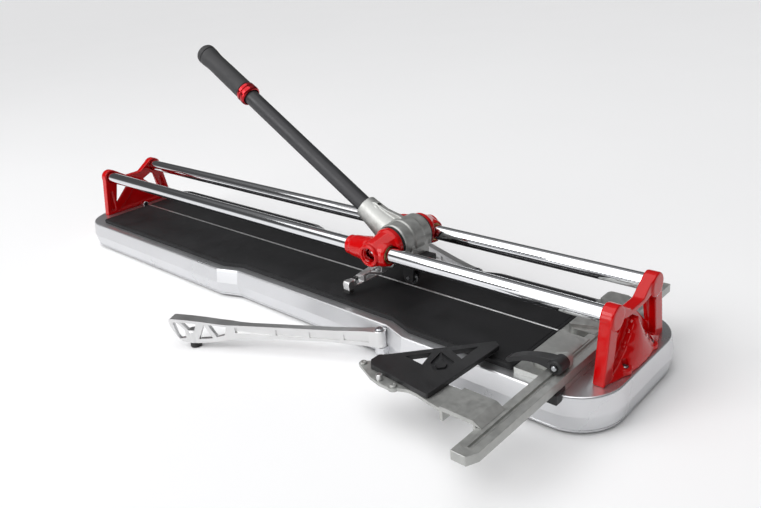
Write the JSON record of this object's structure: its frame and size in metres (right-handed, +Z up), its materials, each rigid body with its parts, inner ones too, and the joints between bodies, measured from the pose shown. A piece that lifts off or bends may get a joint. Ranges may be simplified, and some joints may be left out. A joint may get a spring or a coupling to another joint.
{
  "type": "manual tile cutter",
  "caption": "Manual tile cutter: cast base with black pads, chrome guide rods, sliding carriage with lever, scoring wheel and breaker, side fence with angle stop, swing-out arms.",
  "frame": {"origin": "middle of the footprint on the bench; the cutting line runs along X about 22 mm behind the origin", "axes": "+X along the cutting line towards the side fence, +Z up, -Y to the front, where the angle stop stands"},
  "size_m": [1.1, 0.4824, 0.372],
  "materials": {
    "silver_paint": "satin metallic paint on a casting",
    "red_enamel": "glossy enamel",
    "pad_rubber": "matte, finely textured",
    "foot_rubber": "matte",
    "chrome": "polished hard chrome",
    "steel": "turned, oiled",
    "cast_aluminium": "sand-blasted casting",
    "bright_aluminium": "tumbled bright casting",
    "bronze": "sintered bush",
    "black_plastic": "moulded, fine grain",
    "tube_coating": "satin anthracite powder coat",
    "grip_rubber": "matte moulded grip",
    "red_anodised": "glossy dark red anodised"
  },
  "bodies": {
    "base": {"base_casting": "silver_paint", "front_pad": "pad_rubber", "rear_pad": "pad_rubber", "breaking_rib": "bright_aluminium", "left_support": "red_enamel", "right_support": "red_enamel", "left_support_screw_front": "steel", "left_support_screw_rear": "steel", "right_support_screw_front": "steel", "right_support_screw_rear": "steel", "front_guide_rod": "chrome", "rear_guide_rod": "chrome", "parking_magnet": "chrome", "foot_front_left": "foot_rubber", "foot_front_right": "foot_rubber", "foot_rear_left": "foot_rubber", "foot_rear_right": "foot_rubber", "fence_casting": "cast_aluminium", "rail_guide": "black_plastic", "fence_lock_pin": "steel", "front_arm_pin": "steel", "rear_arm_pin": "steel"},
    "carriage": {"front_slider": "red_enamel", "rear_slider": "red_enamel", "front_left_bush": "bronze", "front_right_bush": "bronze", "rear_left_bush": "bronze", "rear_right_bush": "bronze", "front_dust_ring": "foot_rubber", "rear_dust_ring": "foot_rubber", "pivot_shaft": "steel"},
    "lever": {"lever_head": "cast_aluminium", "lever_tube": "tube_coating", "tube_screw": "steel", "grip": "grip_rubber", "grip_cap": "grip_rubber", "grip_ring": "red_anodised", "wheel_holder": "black_plastic", "wheel_axle": "steel", "separator_pin": "steel"},
    "wheel": {"scoring_wheel": "steel"},
    "breaker": {"separator": "bright_aluminium", "front_press_pad": "foot_rubber", "rear_press_pad": "foot_rubber"},
    "fence": {"fence_rail": "cast_aluminium"},
    "fence_lock": {"fence_lock_lever": "black_plastic"},
    "stop": {"stop_bracket": "cast_aluminium", "stop_pivot_screw": "steel", "stop_detent_pin": "bright_aluminium"},
    "square": {"stop_square": "black_plastic"},
    "front_swing_arm": {"front_arm": "bright_aluminium", "front_arm_post": "steel", "front_arm_shoe": "foot_rubber"},
    "rear_swing_arm": {"rear_arm": "bright_aluminium", "rear_arm_post": "steel", "rear_arm_shoe": "foot_rubber"}
  },
  "joints": [
    {"name": "carriage_slide", "type": "slide", "parent": "base", "child": "carriage", "axis": [1, 0, 0], "range_m": [-0.65, 0.215]},
    {"name": "lever_pivot", "type": "hinge", "parent": "carriage", "child": "lever", "pos_m": [0.203, 0.02177, 0.126], "axis": [0, 1, 0], "range_deg": [0, 20]},
    {"name": "wheel_spin", "type": "hinge", "parent": "lever", "child": "wheel", "pos_m": [0.209, 0.02177, 0.068], "axis": [0, 1, 0], "continuous": true},
    {"name": "breaker_pivot", "type": "hinge", "parent": "lever", "child": "breaker", "pos_m": [0.183, 0.02177, 0.086], "axis": [0, 1, 0], "range_deg": [0, 7]},
    {"name": "fence_slide", "type": "slide", "parent": "base", "child": "fence", "axis": [0, -1, 0], "range_m": [-0.03, 0.05]},
    {"name": "fence_lock_turn", "type": "hinge", "parent": "base", "child": "fence_lock", "pos_m": [0.4927, -0.07323, 0.075], "axis": [0, 1, 0], "range_deg": [0, 90]},
    {"name": "stop_slide", "type": "slide", "parent": "fence", "child": "stop", "axis": [0, -1, 0], "range_m": [-0.025, 0.02]},
    {"name": "square_turn", "type": "hinge", "parent": "stop", "child": "square", "pos_m": [0.323, -0.16623, 0.06], "axis": [0, 0, 1], "range_deg": [0, 45]},
    {"name": "front_arm_swing", "type": "hinge", "parent": "base", "child": "front_swing_arm", "pos_m": [0.243, -0.08373, 0.03], "axis": [0, 0, 1], "range_deg": [-26, 40]},
    {"name": "rear_arm_swing", "type": "hinge", "parent": "base", "child": "rear_swing_arm", "pos_m": [0.243, 0.12727, 0.03], "axis": [0, 0, -1], "range_deg": [-20, 40]}
  ]
}
